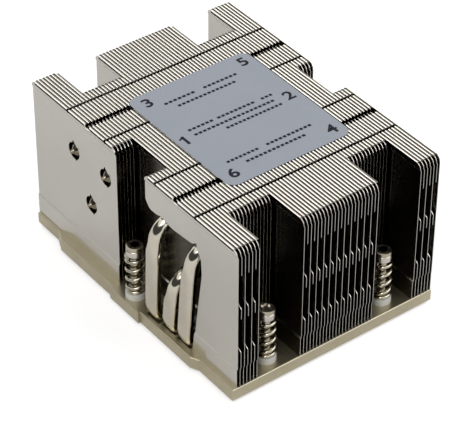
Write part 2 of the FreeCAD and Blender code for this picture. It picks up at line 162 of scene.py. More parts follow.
def pierce(bm: BMesh, holes: Sequence[Sequence[Vector]]) -> None:
    """Fill the outline again as a face with holes.

    Args:
        bm: a mesh that holds one flat outline.
        holes: the points of each hole in order.
    """
    bmesh.ops.delete(bm, geom=list(bm.faces), context="FACES_ONLY")
    for hole in holes:
        ring = [bm.verts.new(p) for p in hole]
        for a, b in zip(ring, ring[1:] + ring[:1]):
            bm.edges.new((a, b))
    bmesh.ops.triangle_fill(bm, use_beauty=True, use_dissolve=False, edges=list(bm.edges))


def thicken(bm: BMesh, shift: Sequence[float]) -> None:
    """Extrude everything flat in the mesh and face it outwards.

    Args:
        bm: the mesh.
        shift: how far and where to extrude it.
    """
    pushed = bmesh.ops.extrude_face_region(bm, geom=list(bm.faces))
    bmesh.ops.translate(bm, verts=only(BMVert, pushed["geom"]), vec=Vector(shift))
    face_outwards(bm)


def score(bm: BMesh, place: Sequence[float], normal: Sequence[float]) -> None:
    """Cut new edges into the mesh where a plane crosses it."""
    everything = [*bm.verts, *bm.edges, *bm.faces]
    bmesh.ops.bisect_plane(bm, geom=everything, dist=1e-5, plane_co=place, plane_no=normal)


def prism(
    corners: Sequence[Corner], plane: Plane, depth: float, shift: Sequence[float]
) -> BMesh:
    """Make a solid from a flat outline.

    Args:
        corners: the outline.
        plane: its plane.
        depth: where the plane lies.
        shift: how far and where to extrude it.

    Returns:
        A new mesh.
    """
    bm = bmesh.new()
    outline_face(bm, corners, plane, depth)
    thicken(bm, shift)
    return bm


def box_outline(
    low_a: float, low_b: float, high_a: float, high_b: float, radius: float = 0.0
) -> list[Corner]:
    """Return the corners of a rectangle."""
    spots = ((low_a, low_b), (high_a, low_b), (high_a, high_b), (low_a, high_b))
    return [Corner(a, b, radius) for a, b in spots]


def circle_points(
    plane: Plane, centre: Sequence[float], radius: float, count: int, depth: float = 0.0
) -> list[Vector]:
    """Set out points round a circle, from its top.

    Args:
        plane: the plane of the circle.
        centre: its middle in that plane.
        radius: its radius.
        count: how many points.
        depth: where the plane lies on its own axis.

    Returns:
        The points in order.
    """
    turn = 2 * math.pi / count
    across, along = centre
    arms = [(radius * math.sin(i * turn), radius * math.cos(i * turn)) for i in range(count)]
    return [point(plane, across + a, along + b, depth) for a, b in arms]


def copy_in(target: BMesh, source: BMesh, shift: Vector) -> None:
    """Copy one mesh into another.

    Args:
        target: the mesh that grows.
        source: the mesh that is copied and stays as it is.
        shift: how far the copy moves.
    """
    carrier = bpy.data.meshes.new("carrier")
    source.to_mesh(carrier)
    carrier.transform(Matrix.Translation(shift))
    target.from_mesh(carrier)
    bpy.data.meshes.remove(carrier)


def add_in(target: BMesh, part: BMesh) -> None:
    """Put a part into a mesh where it is, and free the part."""
    copy_in(target, part, HERE)
    part.free()


def lathe(bm: BMesh, profile: Sequence[Pair], centre: Pair, steps: int) -> None:
    """Spin an open profile of (radius, z) pairs about a vertical axis.

    Args:
        bm: the mesh that gets the surface.
        profile: radius and height of each point.
        centre: X and Y of the axis.
        steps: how many sides the round has.
    """
    verts = [bm.verts.new((centre[0] + r, centre[1], z)) for r, z in profile]
    edges = [bm.edges.new(pair) for pair in zip(verts, verts[1:])]
    bmesh.ops.spin(
        bm, geom=verts + edges, cent=(centre[0], centre[1], 0), axis=(0, 0, 1),
        dvec=(0, 0, 0), angle=2 * math.pi, steps=steps,
        use_merge=True, use_normal_flip=False, use_duplicate=False,
    )
    bmesh.ops.remove_doubles(bm, verts=list(bm.verts), dist=1e-5)


def make_piece(
    bm: BMesh, name: str, finishes: Sequence[Material], nodes: Sequence[str],
    body: str = BODY, smooth: bool = False,
) -> Object:
    """Turn a mesh in millimetres into a finished piece of the object.

    Args:
        bm: the mesh, which is freed.
        name: the piece's name.
        finishes: its materials, in the order of the faces' numbers.
        nodes: the CAD nodes it stands for.
        body: the body it moves with.
        smooth: whether curved faces shade smoothly.

    Returns:
        The new object.
    """
    bmesh.ops.scale(bm, vec=(MM, MM, MM), verts=list(bm.verts))
    mesh = bpy.data.meshes.new(name)
    bm.to_mesh(mesh)
    bm.free()
    if smooth:
        mesh.shade_smooth()
        mesh.set_sharp_from_angle(angle=math.radians(CRISP_ANGLE))
    for finish in finishes:
        mesh.materials.append(finish)
    piece = bpy.data.objects.new(name, mesh)
    bpy.context.scene.collection.objects.link(piece)
    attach(piece, body)
    if nodes:
        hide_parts(*nodes)
    LOG.info("%s: %d faces", name, len(mesh.polygons))
    return piece


# --- finishes


def add_node(
    tree: NodeTree, kind: str, settings: dict[str, Any] | None = None,
    links: dict[str, NodeSocket] | None = None,
) -> Node:
    """Add one shader node.

    Args:
        tree: the node tree of a material or of the world.
        kind: the node's type name.
        settings: attributes, or input sockets by name, and their values.
        links: input sockets by name and the output that feeds each.

    Returns:
        The node.
    """
    node = tree.nodes.new(kind)
    for key, value in (settings or {}).items():
        if hasattr(node, key):
            setattr(node, key, value)
        else:
            node.inputs[key].default_value = value
    for key, output in (links or {}).items():
        tree.links.new(output, node.inputs[key])
    return node


def maths(tree: NodeTree, operation: str, *terms: NodeSocket | float) -> NodeSocket:
    """Add a maths node.

    Args:
        tree: the node tree.
        operation: what it works out.
        terms: the sockets or plain numbers it works on.

    Returns:
        Its output.
    """
    node = add_node(tree, "ShaderNodeMath", {"operation": operation})
    for socket, term in zip(node.inputs, terms):
        if isinstance(term, NodeSocket):
            tree.links.new(term, socket)
        else:
            socket.default_value = term
    return node.outputs[0]


def remap(
    tree: NodeTree, value: NodeSocket, to: Pair, of: Pair = (0.0, 1.0)
) -> NodeSocket:
    """Add a node that maps one range of a value to another, and return its output."""
    ends = {"From Min": of[0], "From Max": of[1], "To Min": to[0], "To Max": to[1]}
    return add_node(tree, "ShaderNodeMapRange", ends, {"Value": value}).outputs["Result"]


def new_material(name: str) -> tuple[Material, Node]:
    """Start a material.

    Args:
        name: its name.

    Returns:
        The material and its Principled shader.
    """
    material = bpy.data.materials.new(name)
    material.use_nodes = True
    return material, material.node_tree.nodes["Principled BSDF"]


@dataclass(frozen=True)
class PlatedSheet:
    """A plated metal whose tone and gloss drift slightly over the surface."""

    name: str
    light: str
    dark: str
    rough: Pair
    blotch_mm: float
    grain_mm: float
    bump_mm: float
    stretch: Triple = (1.0, 1.0, 1.0)
    metallic: float = 1.0
    shine: float = 0.5
    blotch_detail: float = 3.0
    bump_strength: float = 0.25

    def noise(self, tree: NodeTree, size: float, detail: float, where: NodeSocket) -> NodeSocket:
        """Add a noise of this size in millimetres and return its output."""
        settings = {"Scale": per_mm(size), "Detail": detail}
        return add_node(tree, "ShaderNodeTexNoise", settings, {"Vector": where}).outputs["Fac"]

    def build(self) -> Material:
        """Make the material.

        Returns:
            The material.
        """
        material, shader = new_material(self.name)
        tree = material.node_tree
        shader.inputs["Metallic"].default_value = self.metallic
        shader.inputs["Specular IOR Level"].default_value = self.shine
        place = add_node(tree, "ShaderNodeTexCoord").outputs["Object"]
        drawn = add_node(tree, "ShaderNodeMapping", {"Scale": self.stretch}, {"Vector": place})
        blotch = self.noise(tree, self.blotch_mm, self.blotch_detail, place)
        grain = self.noise(tree, self.grain_mm, 2.0, drawn.outputs["Vector"])
        tone = add_node(tree, "ShaderNodeMix", {"data_type": "RGBA"}, {"Factor": blotch})
        tone.inputs[6].default_value = linear(self.dark)
        tone.inputs[7].default_value = linear(self.light)
        relief = add_node(
            tree, "ShaderNodeBump",
            {"Strength": self.bump_strength, "Distance": self.bump_mm * MM}, {"Height": grain},
        )
        tree.links.new(tone.outputs[2], shader.inputs["Base Color"])
        tree.links.new(remap(tree, grain, self.rough), shader.inputs["Roughness"])
        tree.links.new(relief.outputs["Normal"], shader.inputs["Normal"])
        return material


@dataclass(frozen=True)
class MouldedPlastic(PlatedSheet):
    """A plastic, film or ink with a fine skin texture."""

    metallic: float = 0.0
    blotch_detail: float = 2.0
    bump_strength: float = 0.3


@dataclass(frozen=True)
class StudioFloor:
    """Matt pale paper that shows as white behind the object and keeps its shadow."""

    name: str = "matt_pale_paper"
    paper: str = "e9e9ea"
    roughness: float = 0.9
    shine: float = 0.1
    lift: float = 0.42

    def build(self) -> Material:
        """Make the material.

        Returns:
            The material.
        """
        material, shader = new_material(self.name)
        tree = material.node_tree
        shader.inputs["Base Color"].default_value = linear(self.paper)
        shader.inputs["Roughness"].default_value = self.roughness
        shader.inputs["Specular IOR Level"].default_value = self.shine
        shader.inputs["Emission Color"].default_value = (1, 1, 1, 1)
        seen = add_node(tree, "ShaderNodeLightPath")
        lifted = maths(tree, "MULTIPLY", seen.outputs["Is Camera Ray"], self.lift)
        tree.links.new(lifted, shader.inputs["Emission Strength"])
        return material


class Palette:
    """Every finish on the heatsink, made once."""

    def __init__(self) -> None:
        """Build the materials."""
        # nickel-plated aluminium, rolled sheet: satin, with faint lines from the mill rolls
        self.fin = PlatedSheet(
            "rolled_nickel_plated_aluminium", "d4d0c8", "c9c5bc", (0.17, 0.24),
            blotch_mm=22.0, grain_mm=1.6, bump_mm=0.0008, stretch=(1.0, 1.0, 0.12),
        ).build()
        # the same sheet in the lap under the next fold: dull, and darkened as painted shade in the
        # groove
        self.lap = PlatedSheet(
            "painted_shade_aluminium_lap", "6b675f", "57544d", (0.4, 0.55),
            blotch_mm=9.0, grain_mm=0.6, bump_mm=0.006,
        ).build()
        # the same sheet between the fins: darkened as painted shade, so the gaps look deep
        self.shade = PlatedSheet(
            "smoky_nickel_plated_aluminium", "5f594e", "4d483f", (0.17, 0.25),
            blotch_mm=14.0, grain_mm=1.6, bump_mm=0.0008, stretch=(1.0, 1.0, 0.12),
        ).build()
        # nickel-plated copper, milled plate: warm and soft, with fine cutter lines along it
        self.base = PlatedSheet(
            "milled_nickel_plated_copper", "cdc5ad", "b9af95", (0.34, 0.46),
            blotch_mm=12.0, grain_mm=0.7, bump_mm=0.005, stretch=(1.0, 0.1, 1.0),
        ).build()
        # nickel-plated copper tube, drawn: bright, with faint stretch marks
        self.pipe = PlatedSheet(
            "drawn_nickel_plated_copper_tube", "dfd9ca", "cbc3b1", (0.06, 0.12),
            blotch_mm=6.0, grain_mm=0.5, bump_mm=0.004, stretch=(0.3, 1.0, 0.3),
        ).build()
        # the welded ends of the tubes: darkened as a painted dark reflection
        self.dark_reflection = PlatedSheet(
            "torch_tinted_copper_tube_end", "938a78", "746b5a", (0.1, 0.18),
            blotch_mm=2.0, grain_mm=0.5, bump_mm=0.002,
        ).build()
        # nickel-plated steel, turned: warm, with fine rings round the head
        self.screw = PlatedSheet(
            "turned_nickel_plated_steel", "cbc4b2", "aba38f", (0.18, 0.3),
            blotch_mm=3.0, grain_mm=0.3, bump_mm=0.003, stretch=(1.0, 1.0, 6.0),
        ).build()
        # the ground collar, lighter in its own right, and the socket of the head, made lighter as
        # painted light
        self.collar = PlatedSheet(
            "ground_steel_collar", "dcd7ce", "cdc7bc", (0.2, 0.3),
            blotch_mm=3.0, grain_mm=0.3, bump_mm=0.003, stretch=(1.0, 1.0, 6.0),
        ).build()
        # bright nickel on spring wire, coiled: hard little highlights
        self.spring = PlatedSheet(
            "coiled_bright_nickel_wire", "d2ccbc", "aaa28e", (0.06, 0.14),
            blotch_mm=2.0, grain_mm=0.3, bump_mm=0.002,
        ).build()
        # natural nylon, injection moulded: off-white and waxy
        self.bushing = MouldedPlastic(
            "moulded_natural_nylon", "cfcec8", "bfbeb7", (0.36, 0.48),
            blotch_mm=3.0, grain_mm=0.25, bump_mm=0.01,
        ).build()
        # polyester film, cast: flat grey-blue with a slight orange-peel sheen
        self.film = MouldedPlastic(
            "matt_polyester_film", "989da6", "9096a0", (0.44, 0.56),
            blotch_mm=14.0, grain_mm=0.6, bump_mm=0.006, shine=0.25,
        ).build()
        # screen-printing ink: thin, almost black
        self.ink = MouldedPlastic(
            "screen_printed_ink", "17181f", "1f2028", (0.54, 0.66),
            blotch_mm=2.0, grain_mm=0.3, bump_mm=0.004, shine=0.1,
        ).build()


# --- pipe runs


@dataclass(frozen=True)
class PipeRun:
    """Where one pair of pipes runs; a rear pipe is the front one turned about Z."""

    name: str
    row: float
    offset: float
    leg_offset: float
    reach: float

    @property
    def lean(self) -> float:
        """Return how far the pipe leans towards the middle of the base, in radians."""
        return math.atan((self.offset - self.leg_offset) / (self.row - LEG_LEVEL))


LEG_LEVEL = 3.7
PIPE_RUNS = (
    PipeRun("inner", 47.8, 15.2, 13.3, 45.2),
    PipeRun("middle", 30.3, 24.6, 21.5, 44.3),
    PipeRun("outer", 47.8, 34.2, 30.0, 44.1),
)


# --- fin stack


@dataclass(frozen=True)
class SlotRow:
    """A row of slots across the top: its front edge, and its length in folds and webs."""

    start: float
    fold_cut: float
    web_cut: float


@dataclass
class FinSizes:
    """The measures every fin shares, in millimetres."""

    pitch: float = 1.405
    wall: float = 0.2
    top: float = 64.0
    crest: float = 63.94
    foot: float = 5.8
    cells: int = 60
    split_left: int = 6
    notched: int = 12
    centre: int = 23
    split_right: int = 4
    # where a web and its folds end, at the outside, beside a screw and at the middle gap
    web_end: float = 59.0
    flange_end: float = 57.0
    notch_web_end: float = 43.2
    notch_flange_end: float = 41.1
    gap_web_end: float = 8.35
    gap_flange_end: float = 10.3
    corner_radius: float = 2.2
    # the top fold: a rounded crown, then a lap that dips under the next crown
    bend_radius: float = 0.45
    fold_drop: float = 1.1
    crown_end: float = 0.56
    crown_radius: float = 0.16
    lap_slope: float = 0.14
    lap_radius: float = 0.08
    lap_drop: float = 0.34
    lap_play: float = 0.01
    # where the lap's darker finish, painted shade in the groove, starts across the pitch
    lap_shade_start: float = 0.62
    foot_play: float = 0.02
    # how far a web steps sideways between its foot and its top, and where
    joggle: float = 0.35
    end_joggle: float = 0.1
    joggle_heights: tuple[float, ...] = (13.6, 14.3, 61.1, 61.8)
    # the shallow recesses in the outer edge of every second fin
    relief_spans: tuple[Pair, ...] = ((21.0, 35.0), (39.6, 53.2))
    relief_depth: float = 2.6
    relief_ramp: float = 1.6
    relief_radii: Pair = (0.5, 0.8)
    # a pipe hole: round, with a pointed notch above and a nick below
    hole_radius: float = 3.3
    hole_sides: int = 20
    hole_point: Pair = (0.5, 4.5)
    hole_nick: Triple = (0, -0.4, -0.45)
    nick_side: int = 11
    # the foot folds beside the arch and the strip that stays at the middle gap
    foot_arch_end: float = 34.7
    foot_strip_end: float = 10.7
    slot_depth: float = 1.3
    slot_rows: tuple[SlotRow, ...] = (
        SlotRow(-37.21, 1.1, 1.1), SlotRow(-27.0, 3.1, 2.4), SlotRow(-15.02, 1.1, 1.1),
        SlotRow(13.92, 1.1, 1.1), SlotRow(23.6, 3.1, 2.4), SlotRow(36.11, 1.1, 1.1),
    )
    # Y, Z and radius of the corners of the opening for the pipe bends, from outside in,
    # and of its inner end where it stays closed and where it runs into the middle gap
    arch_foot: float = 34.5
    arch_corners: tuple[Triple, ...] = (
        (39.6, 41.2, 1.0), (39.2, 48.2, 1.6), (36.9, 50.4, 0.4), (36.8, 53.1, 0.5),
        (34.4, 51.4, 0.5), (23.5, 50.4, 1.0), (16.5, 51.6, 0.8), (15.0, 50.9, 0.5),
    )
    window_end: Triple = (10.75, 50.9, 1.0)
    gap_end: Triple = (10.7, 50.8, 1.0)
    gap_mouth: Pair = (53.5, 0.8)


@dataclass(frozen=True)
class FinKind:
    """What sets one sort of fin apart from the others."""

    low: float
    high: float
    flange_low: float
    flange_high: float
    holes: tuple[int, ...] = ()
    arch: int = 0
    windowed: bool = False
    relieved: tuple[int, ...] = ()
    folded: bool = True
    footed: bool = True
    # the Y from which on the flat face is seen from outside and stays bright; elsewhere it gets
    # painted shade
    open_from: float | None = None


@dataclass
class FinStack:
    """Sixty interlocked fins and the two flat end plates."""

    sizes: FinSizes
    palette: Palette

    def edge(self, y: float, side: int, kind: FinKind) -> list[Corner]:
        """Return an upright edge of a web from foot to top, stepped where it is relieved.

        Args:
            y: the edge's position.
            side: -1 for the low edge, 1 for the high one.
            kind: the fin.

        Returns:
            The corners from the foot up.
        """
        s = self.sizes
        corners = [Corner(y, s.foot)]
        if side in kind.relieved:
            back = y - side * s.relief_depth
            outer, inner = s.relief_radii
            for low, high in s.relief_spans:
                corners += [
                    Corner(y, low, outer), Corner(back, low + s.relief_ramp, inner),
                    Corner(back, high - s.relief_ramp, inner), Corner(y, high, outer),
                ]
        return corners + [Corner(y, s.crest, s.corner_radius)]

    def arch(self, side: int, windowed: bool) -> list[Corner]:
        """Return the corners of the opening that the pipe bends pass through.

        Args:
            side: -1 for the front half, 1 for the rear.
            windowed: whether a strip is left standing at the middle gap.

        Returns:
            The corners from the outer foot, round the opening, to the gap.
        """
        s = self.sizes
        run = [(s.arch_foot, s.foot, 0.0), *s.arch_corners]
        if windowed:
            run += [s.window_end, (s.window_end[0], s.foot, 0.0)]
        else:
            run += [s.gap_end, (s.gap_web_end, *s.gap_mouth)]
        return [Corner(side * y, z, radius) for y, z, radius in run]

    def slots(self, kind: FinKind) -> list[Corner]:
        """Set out the slots in a web's top.

        Args:
            kind: the fin.

        Returns:
            The corners from the low end to the high one.
        """
        s = self.sizes
        floor = s.crest - s.slot_depth
        corners = []
        for row in s.slot_rows:
            if kind.folded and kind.flange_low < row.start < kind.flange_high:
                end = row.start + row.web_cut
                corners += [Corner(row.start, s.crest), Corner(row.start, floor)]
                corners += [Corner(end, floor), Corner(end, s.crest)]
        return corners

    def web_outline(self, kind: FinKind) -> list[Corner]:
        """Draw a web in the YZ plane.

        Args:
            kind: the fin.

        Returns:
            The corners in order.
        """
        low = self.edge(kind.low, -1, kind) + self.slots(kind)
        high = self.edge(kind.high, 1, kind)
        if kind.arch and kind.windowed:
            opening = self.arch(kind.arch, True)
            return low + high[::-1] + (opening if kind.arch > 0 else opening[::-1])
        if kind.arch > 0:
            return low[1:] + high[::-1] + self.arch(1, False)
        if kind.arch < 0:
            return low + high[:0:-1] + self.arch(-1, False)[::-1]
        return low + high[::-1]

    def hole(self, y: float, z: float) -> list[Vector]:
        """Draw a pipe hole with its pointed notch and its nick.

        Args:
            y: its middle.
            z: its middle.

        Returns:
            The points in order.
        """
        s = self.sizes
        ring = circle_points(Plane.YZ, (y, z), s.hole_radius, s.hole_sides)
        ring[0] = point(Plane.YZ, y + s.hole_point[0], z + s.hole_point[1])
        ring[s.nick_side] = ring[s.nick_side] + Vector(s.hole_nick)
        return ring

    def web(self, kind: FinKind) -> BMesh:
        """Make one upright web at X = 0.

        Args:
            kind: the fin.

        Returns:
            A new mesh.
        """
        s = self.sizes
        bm = bmesh.new()
        outline_face(bm, self.web_outline(kind), Plane.YZ)
        if kind.holes:
            spots = [(side * run.offset, run.row) for side in kind.holes for run in PIPE_RUNS]
            pierce(bm, [self.hole(y, z) for y, z in spots])
        thicken(bm, (s.wall, 0, 0))
        for z in s.joggle_heights:
            score(bm, (0, 0, z), (0, 0, 1))
        slack = 1e-3
        low, high = s.joggle_heights[1] - slack, s.joggle_heights[2] + slack
        set_back = [v for v in bm.verts if low < v.co.z < high]
        step = s.joggle if kind.folded else s.end_joggle
        bmesh.ops.translate(bm, verts=set_back, vec=(step, 0, 0))
        # a face that is bright at the rear and has painted shade in front is divided at the middle
        score(bm, (0, 0, 0), (0, 1, 0))
        for face in bm.faces:
            # the flat faces between the fins get the darker finish as painted shade
            in_painted_shade = kind.open_from is None or face.calc_center_median().y < kind.open_from
            if in_painted_shade and abs(face.normal.x) > 0.9:
                face.material_index = PAINTED_SHADE_FINISH
        return bm

    def fold_lengths(self, low: float, high: float) -> list[Pair]:
        """Divide a fold at its slots.

        Args:
            low: the Y where the fold starts.
            high: the Y where it ends.

        Returns:
            The start and end of each stretch.
        """
        stretches = []
        start = low
        for row in self.sizes.slot_rows:
            if low < row.start < high:
                stretches.append((start, row.start))
                start = row.start + row.fold_cut
        return stretches + [(start, high)]

    def fold(self, low: float, high: float) -> BMesh:
        """Make one stretch of the top fold: a rounded crown that dips into the lap.

        Args:
            low: the Y where it starts.
            high: the Y where it ends.

        Returns:
            A new mesh.
        """
        s = self.sizes
        lap = s.top - s.lap_drop
        end = s.pitch - s.lap_play
        profile = [
            Corner(0.0, s.top - s.fold_drop), Corner(0.0, s.top, s.bend_radius),
            Corner(s.crown_end, s.top, s.crown_radius),
            Corner(s.crown_end + s.lap_slope, lap, s.lap_radius),
            Corner(end, lap), Corner(end, lap - s.wall),
            Corner(s.wall, lap - s.wall), Corner(s.wall, s.top - s.fold_drop),
        ]
        bm = prism(profile, Plane.XZ, low, (0, high - low, 0))
        for face in bm.faces:
            # the slope and the flat of the lap look up and get the darker finish as painted shade;
            # its underside and ends don't
            if face.calc_center_median().x > s.lap_shade_start and face.normal.z > 0.2:
                face.material_index = SECOND_FINISH
        return bm

    def foot_spans(self, kind: FinKind) -> list[Pair]:
        """Tell where a fin has its foot fold, clear of the arch.

        Args:
            kind: the fin.

        Returns:
            The start and end of each stretch.
        """
        s = self.sizes
        if not kind.footed:
            return []
        if kind.windowed:
            return [(kind.flange_low, s.foot_strip_end), (s.foot_arch_end, kind.flange_high)]
        if kind.arch:
            ends = sorted((kind.arch * s.foot_arch_end, kind.arch * s.flange_end))
            return [(ends[0], ends[1])]
        return [(kind.flange_low, kind.flange_high)]

    def fin(self, kind: FinKind) -> BMesh:
        """Make one whole fin at X = 0.

        Args:
            kind: the fin.

        Returns:
            A new mesh.
        """
        s = self.sizes
        bm = self.web(kind)
        if not kind.folded:
            return bm
        for low, high in self.fold_lengths(kind.flange_low, kind.flange_high):
            add_in(bm, self.fold(low, high))
        strip = box_outline(s.wall, s.foot, s.pitch - s.foot_play, s.foot + s.wall)
        for low, high in self.foot_spans(kind):
            add_in(bm, prism(strip, Plane.XZ, low, (0, high - low, 0)))
        return bm

    def block(self, name: str, kinds: Sequence[FinKind], first: int) -> None:
        """Set out one run of fins.

        Args:
            name: the CAD node that the run stands for.
            kinds: the kind of each fin in turn.
            first: the cell of the first fin, counted from the left.
        """
        s = self.sizes
        run = bmesh.new()
        made = {kind: self.fin(kind) for kind in dict.fromkeys(kinds)}
        for step, kind in enumerate(kinds):
            x = (first + step - s.cells / 2) * s.pitch
            copy_in(run, made[kind], Vector((x, 0, 0)))
        for bm in made.values():
            bm.free()
        finishes = [self.palette.fin, self.palette.lap, self.palette.shade]
        make_piece(run, name + "_folded", finishes, [name])

    def span(self, half: Half, **extra: Any) -> FinKind:
        """Describe a fin that fills one half of the split blocks.

        Args:
            half: which half.
            extra: what else sets it apart.

        Returns:
            The kind of fin.
        """
        s = self.sizes
        if half is Half.FRONT:
            return FinKind(-s.web_end, -s.gap_web_end, -s.flange_end, -s.gap_flange_end, **extra)
        return FinKind(s.gap_web_end, s.web_end, s.gap_flange_end, s.flange_end, **extra)

    def paired(self, half: Half, count: int, opens: bool, **extra: Any) -> list[FinKind]:
        """Return a half's fins, every second one with a relieved outer edge.

        Args:
            half: which half they fill.
            count: how many fins.
            opens: whether the first one is seen from outside.
            extra: what else the kinds have.

        Returns:
            The kinds in order.
        """
        flat = self.span(half, **extra)
        cut = self.span(half, relieved=(half.value,), **extra)
        run = [cut if i % 2 else flat for i in range(count)]
        if opens:
            run[0] = replace(run[0], open_from=-self.sizes.web_end)
        return run

    def build(self) -> None:
        """Make every run of fins and both end plates, from left to right."""
        s = self.sizes
        front, rear = Half.FRONT, Half.REAR
        ends = (-s.web_end, s.web_end, -s.flange_end, s.flange_end)
        notch_ends = (-s.notch_web_end, s.notch_web_end, -s.notch_flange_end, s.notch_flange_end)
        plain = FinKind(*ends, holes=(-1, 1))
        facing = replace(plain, open_from=0.0)
        stepped = replace(plain, relieved=(-1, 1))
        window = FinKind(*ends, holes=(-1,), arch=1, windowed=True, relieved=(-1, 1))
        notches = [FinKind(*notch_ends, holes=(-1, 1))] * s.notched
        plate = dict(folded=False, open_from=-s.web_end)
        groups = (
            {
                "left_front_fins": self.paired(front, s.split_left, True, arch=-1),
                "left_rear_fins": self.paired(rear, s.split_left, True, holes=(1,)),
            },
            {"left_full_fin": [plain]},
            {"left_notch_fins": notches},
            {"centre_fins": [facing] + [plain if i % 2 else stepped for i in range(s.centre - 1)]},
            {"right_notch_fins": notches},
            {"right_full_fins": [replace(facing, footed=False)]},
            {"right_window_fin": [window]},
            {
                "right_front_fins": self.paired(front, s.split_right, False, holes=(-1,)),
                "right_rear_fins": self.paired(rear, s.split_right, False, arch=1),
            },
            {
                "front_end_plate": [self.span(front, holes=(-1,), **plate)],
                "rear_end_plate": [self.span(rear, arch=1, **plate)],
            },
        )
        cell = 0
        for group in groups:
            for name, kinds in group.items():
                self.block(name, kinds, cell)
            cell += len(kinds)


# --- base plate


@dataclass
class BasePlate:
    """The milled plate with its contact face, pipe grooves and screw holes."""

    palette: Palette
    half_width: float = 46.2
    underside: float = 1.0
    groove_floor: float = 1.58
    top: float = 5.8
    half_contact: Pair = (34.0, 38.0)
    contact_radius: float = 0.8
    groove_end: float = 36.02
    groove_lead: float = 1.75
    groove_half: float = 3.6
    hole_radius: float = 2.35
    hole_sides: int = 24
    edge_break: float = 0.4
    # inset from the widest part and Y of each corner of the left side, from the front
    steps: tuple[Pair, ...] = (
        (2.5, -59.0), (2.5, -40.4), (0.9, -37.2), (0.9, -8.5), (0.0, -8.5),
        (0.0, 8.5), (0.9, 8.5), (0.9, 40.4), (3.4, 46.0), (3.4, 59.0),
    )

    def side(self, sign: int) -> list[Corner]:
        """Return the outline of the left side for -1, or of the right one, turned, for 1."""
        return [Corner(sign * (self.half_width - inset), -sign * y) for inset, y in self.steps]

    def grooves(self, depth: float) -> list[list[Vector]]:
        """Draw the closed grooves that the flattened legs lie in.

        Args:
            depth: the height of the outlines.

        Returns:
            The corners of each groove.
        """
        loops = []
        for half in Half:
            for run in PIPE_RUNS:
                start = half.value * (run.reach - self.groove_lead)
                end = -half.value * self.groove_end
                y = half.value * run.leg_offset
                low, high = y - self.groove_half, y + self.groove_half
                spots = ((start, low), (end, low), (end, high), (start, high))
                loops.append([point(Plane.XY, *spot, depth) for spot in spots])
        return loops

    def layer(self, low: float, high: float, grooved: bool, broken: float) -> BMesh:
        """Make one level of the plate.

        Args:
            low: its underside.
            high: its top.
            grooved: whether the grooves cut through it.
            broken: the height whose outer edges are eased.

        Returns:
            The mesh.
        """
        bm = bmesh.new()
        outline_face(bm, self.side(-1) + self.side(1), Plane.XY, low)
        holes = [
            circle_points(Plane.XY, centre, self.hole_radius, self.hole_sides, low)
            for centre in screw_places().values()
        ]
        pierce(bm, holes + (self.grooves(low) if grooved else []))
        thicken(bm, (0, 0, high - low))
        square = math.pi / 2
        rims = [
            e for e in bm.edges
            if all(abs(v.co.z - broken) < 1e-4 for v in e.verts)
            and len(e.link_faces) == 2 and abs(e.calc_face_angle(0.0) - square) < 0.01
        ]
        bmesh.ops.bevel(
            bm, geom=rims, offset=self.edge_break, offset_type="OFFSET", segments=3,
            profile=0.5, affect="EDGES", material=-1, clamp_overlap=True,
        )
        return bm

    def build(self) -> None:
        """Make the plate."""
        bm = self.layer(self.groove_floor, self.top, True, self.top)
        add_in(bm, self.layer(self.underside, self.groove_floor, False, self.underside))
        x, y = self.half_contact
        contact = box_outline(-x, -y, x, y, self.contact_radius)
        add_in(bm, prism(contact, Plane.XY, 0.0, (0, 0, self.underside)))
        make_piece(bm, "base_milled_plate", [self.palette.base], ["base_plate"])


# --- heat pipes


@dataclass(frozen=True)
class Station:
    """One section along a pipe: where it is, which way it goes and its size."""

    x: float
    z: float
    angle: float
    thick: float
    wide: float
    squareness: float = 2.0


# X and diameter of the sections of a closed end: a nipple on a drawn-in dome
DOME = (
    (43.3, 0.5), (43.2, 1.0), (42.8, 1.4), (42.4, 1.6),
    (42.0, 2.4), (41.4, 3.8), (40.8, 4.9), (40.2, 5.4),
)


